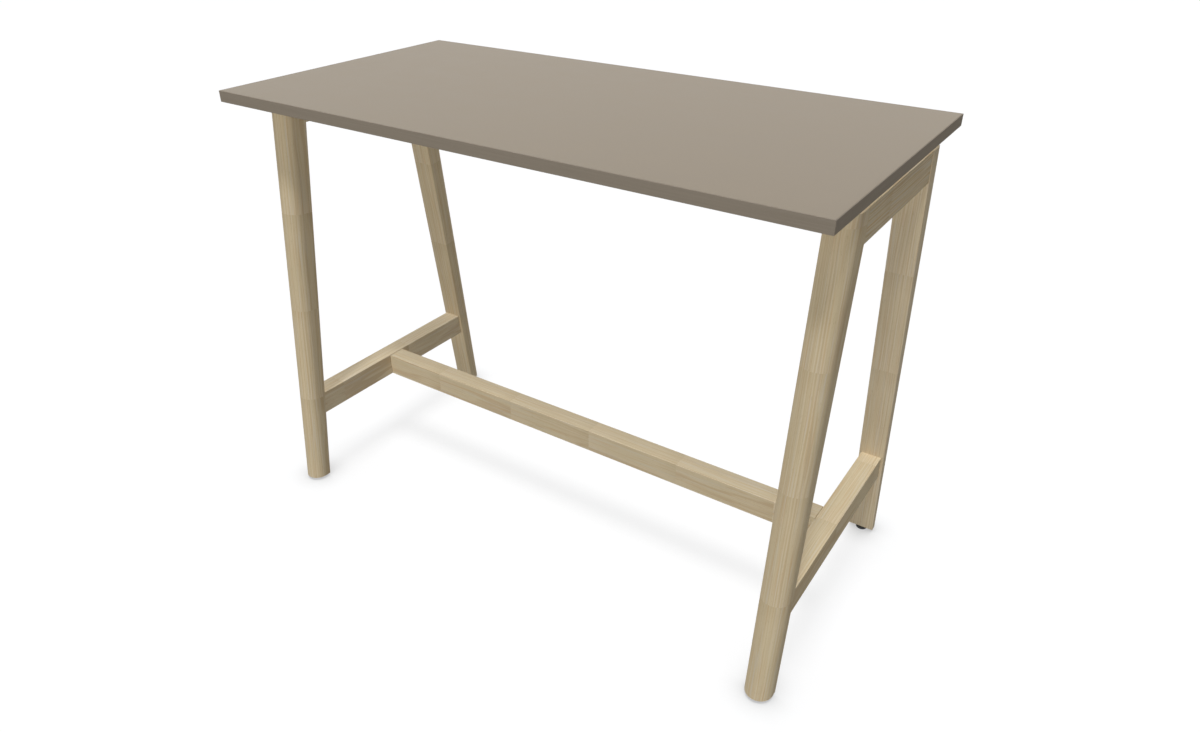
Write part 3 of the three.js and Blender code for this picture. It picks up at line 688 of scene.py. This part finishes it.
# The main lamp shades the table itself, the next six fill it evenly without shadows, and the last one
# lights the floor alone and draws the shadow of the low members there
lamps = {
    "main": {"turn": 14, "rise": 64.5, "level": 0.36, "wide": 8},
    "front": {"turn": 0, "rise": 57.5, "level": 0.725, "wide": 20},
    "right": {"turn": 72, "rise": 0, "level": 0.15, "wide": 20},
    "left": {"turn": -105, "rise": 0, "level": 0.277, "wide": 20},
    "back": {"turn": 180, "rise": 0, "level": 0.3, "wide": 20},
    "ceiling": {"turn": 0, "rise": 90, "level": 0.098, "wide": 20, "colour": "a6caff"},
    "bounce": {"turn": 0, "rise": -90, "level": 0.2, "wide": 20},
    "overhead": {"turn": 0, "rise": 90, "level": 1, "wide": 25},
}


# turn goes from the front to the right, rise up from the floor, in degrees; level 1 shows colours as
# written
def placeLamp(name, lamp):
    light = bpy.data.lights.new(name, "SUN")
    light.energy = math.pi * lamp["level"]
    light.color = linear(lamp.get("colour", "ffffff"))[:3]
    light.angle = math.radians(lamp["wide"])
    light.use_shadow = name in ("main", "overhead")
    turn, rise = math.radians(lamp["turn"]), math.radians(lamp["rise"])
    aim = Vector((math.sin(turn) * math.cos(rise), -math.cos(turn) * math.cos(rise), math.sin(rise)))
    piece = bpy.data.objects.new(name, light)
    piece.rotation_euler = aim.to_track_quat("Z", "Y").to_euler()
    piece.visible_glossy = False
    bpy.context.scene.collection.objects.link(piece)
    return piece


placed = {name: placeLamp(name, lamp) for name, lamp in lamps.items()}
lit = bpy.data.collections.new("lit_by_overhead")
lit.objects.link(floor)
shading = bpy.data.collections.new("shades_the_floor")
for name in nodes:
    if name.startswith(("leg_", "stretcher_left", "stretcher_right", "footrest_beam", "glider_pad_")):
        shading.objects.link(smoothed.get(name, nodes[name]))
placed["overhead"].light_linking.receiver_collection = lit
placed["overhead"].light_linking.blocker_collection = shading
unlit = bpy.data.collections.new("not_lit_by_main")
unlit.objects.link(floor)
unlit.collection_objects[0].light_linking.link_state = "EXCLUDE"
placed["main"].light_linking.receiver_collection = unlit

# White where it is seen, and a faint even light from all round
world = bpy.data.worlds.new("whiteRoom")
world.use_nodes = True
tree = world.node_tree
tree.nodes.clear()
strength = add(tree, "ShaderNodeMapRange", {"To Min": studio["dome"]},
               {"Value": seenDirectly(tree).outputs[0]})
white = add(tree, "ShaderNodeBackground", {"Color": (1, 1, 1, 1)}, {"Strength": strength.outputs[0]})
add(tree, "ShaderNodeOutputWorld", links={"Surface": white.outputs[0]})
bpy.context.scene.world = world
print("studio lit")

# Camera of the photo: 45 degrees high, above the front right corner
view = {
    "place": (1.0776, -1.5226, 1.5074), "down": 0.5314, "left": 0.5872,
    "highDegrees": 45, "frame": (1200, 732), "sensorMm": 36,
}
lens = bpy.data.cameras.new("camera")
lens.sensor_fit = "HORIZONTAL"
lens.sensor_width = view["sensorMm"]
wide, high = view["frame"]
lens.lens = view["sensorMm"] / wide * (high / 2) / math.tan(math.radians(view["highDegrees"] / 2))
camera = bpy.data.objects.new("camera", lens)
camera.location = view["place"]
camera.rotation_euler = (math.pi / 2 - view["down"], 0, view["left"])
bpy.context.scene.collection.objects.link(camera)
bpy.context.scene.camera = camera
bpy.context.scene.view_settings.view_transform = "Standard"
